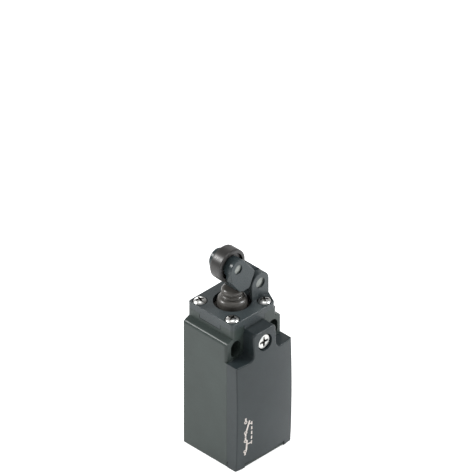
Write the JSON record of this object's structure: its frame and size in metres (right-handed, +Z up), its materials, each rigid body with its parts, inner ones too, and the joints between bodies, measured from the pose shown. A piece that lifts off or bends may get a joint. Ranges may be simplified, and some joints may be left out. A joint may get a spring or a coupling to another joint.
{
  "type": "limit_switch",
  "caption": "Compact plastic limit switch with one-way roller lever above a rubber-booted plunger, screwed head, hinged bowed front cover, bottom cable entry and slotted top mounting holes.",
  "frame": {"origin": "centre of the round cable entry in the bottom face, which is also the plunger axis at the level of the flat bottom", "axes": "+Z up through the plunger and the roller; the hinged cover faces -Y and the mounting face +Y; the lever pivots on the +X side"},
  "size_m": [0.03, 0.0311, 0.0911],
  "materials": {
    "body_plastic": "glass-filled nylon, fine spark-eroded grain",
    "lever_plastic": "glass-filled nylon, smoother",
    "roller_plastic": "dark acetal, lightly polished tread",
    "boot_rubber": "smooth moulded rubber",
    "gasket_rubber": "soft black foam rubber",
    "zinc_steel": "bright zinc plate",
    "pin_steel": "ground steel",
    "spring_steel": "drawn wire",
    "brass": "stamped brass strip",
    "silver": "silver contact rivets",
    "block_plastic": "cream thermoset moulding",
    "cap_plastic": "black thermoplastic",
    "carrier_plastic": "red acetal",
    "bush_plastic": "natural acetal"
  },
  "bodies": {
    "root_body": {"housing": "body_plastic", "hinge_pin": "pin_steel", "head": "body_plastic", "head_gasket": "gasket_rubber", "head_screws": "zinc_steel", "pivot_pin": "zinc_steel", "plunger_bush": "bush_plastic", "boot": "boot_rubber", "boot_ring": "boot_rubber", "plunger_spring": "spring_steel", "contact_block_base": "block_plastic", "contact_block_cap": "cap_plastic", "nc_contacts": "brass", "no_contacts": "brass", "terminal_screws": "zinc_steel", "terminal_clamps": "zinc_steel", "block_screws": "zinc_steel", "carrier_spring": "spring_steel"},
    "lever_body": {"lever": "lever_plastic", "roller_pin": "zinc_steel"},
    "roller_body": {"roller": "roller_plastic"},
    "plunger_body": {"plunger": "pin_steel", "plunger_clip": "spring_steel"},
    "carrier_body": {"contact_carrier": "carrier_plastic", "contact_bridge": "brass", "contact_tips": "silver", "bridge_spring": "spring_steel"},
    "cover_body": {"cover": "body_plastic", "cover_screw": "zinc_steel", "screw_retainer": "cap_plastic", "cover_gasket": "gasket_rubber"}
  },
  "joints": [
    {"name": "lever_pivot", "type": "hinge", "parent": "root_body", "child": "lever_body", "pos_m": [0.00935, 0, 0.0719], "axis": [0, -1, 0], "range_deg": [0, 29], "stiffness_Nm_per_rad": 0.15, "springref_deg": -45.84},
    {"name": "roller_spin", "type": "hinge", "parent": "lever_body", "child": "roller_body", "pos_m": [-0.0026, 0, 0.0841], "axis": [0, -1, 0], "continuous": true},
    {"name": "plunger_slide", "type": "slide", "parent": "root_body", "child": "plunger_body", "axis": [0, 0, -1], "range_m": [0, 0.0049], "deforming": ["boot", "plunger_spring"]},
    {"name": "carrier_slide", "type": "slide", "parent": "root_body", "child": "carrier_body", "axis": [0, 0, -1], "range_m": [0, 0.0049], "deforming": ["carrier_spring"]},
    {"name": "cover_swing", "type": "hinge", "parent": "root_body", "child": "cover_body", "pos_m": [0, -0.0163, 0.0011], "axis": [1, 0, 0], "range_deg": [0, 90]}
  ],
  "couplings": [
    {"joint": "plunger_slide", "follows": "lever_pivot", "m_per_rad": 0.00955},
    {"joint": "carrier_slide", "follows": "lever_pivot", "m_per_rad": 0.00955}
  ]
}
